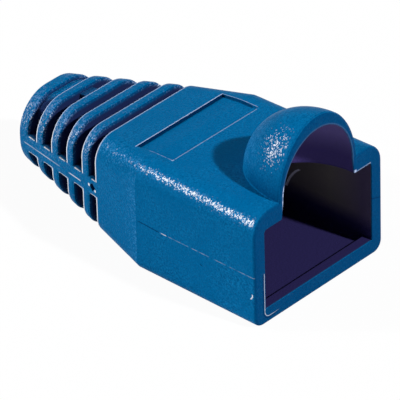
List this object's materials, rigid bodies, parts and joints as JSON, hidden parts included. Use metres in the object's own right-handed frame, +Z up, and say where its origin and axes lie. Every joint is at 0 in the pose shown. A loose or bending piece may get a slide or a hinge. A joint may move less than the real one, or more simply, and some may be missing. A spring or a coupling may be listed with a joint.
{
  "type": "rj45 strain relief boot",
  "caption": "Soft moulded boot for a network cable plug: open plug cavity, latch hood on the roof and a slotted tapering tail around the cable.",
  "frame": {"origin": "middle of the bounding box in X and Y, on the flat underside", "axes": "+Y from the plug mouth to the cable tail, +Z up through the latch hood, X across the width"},
  "size_m": [0.014, 0.0268, 0.015],
  "materials": {
    "boot": "soft PVC, fine spark grain, satin"
  },
  "bodies": {
    "root": {"boot": "boot"}
  },
  "joints": []
}
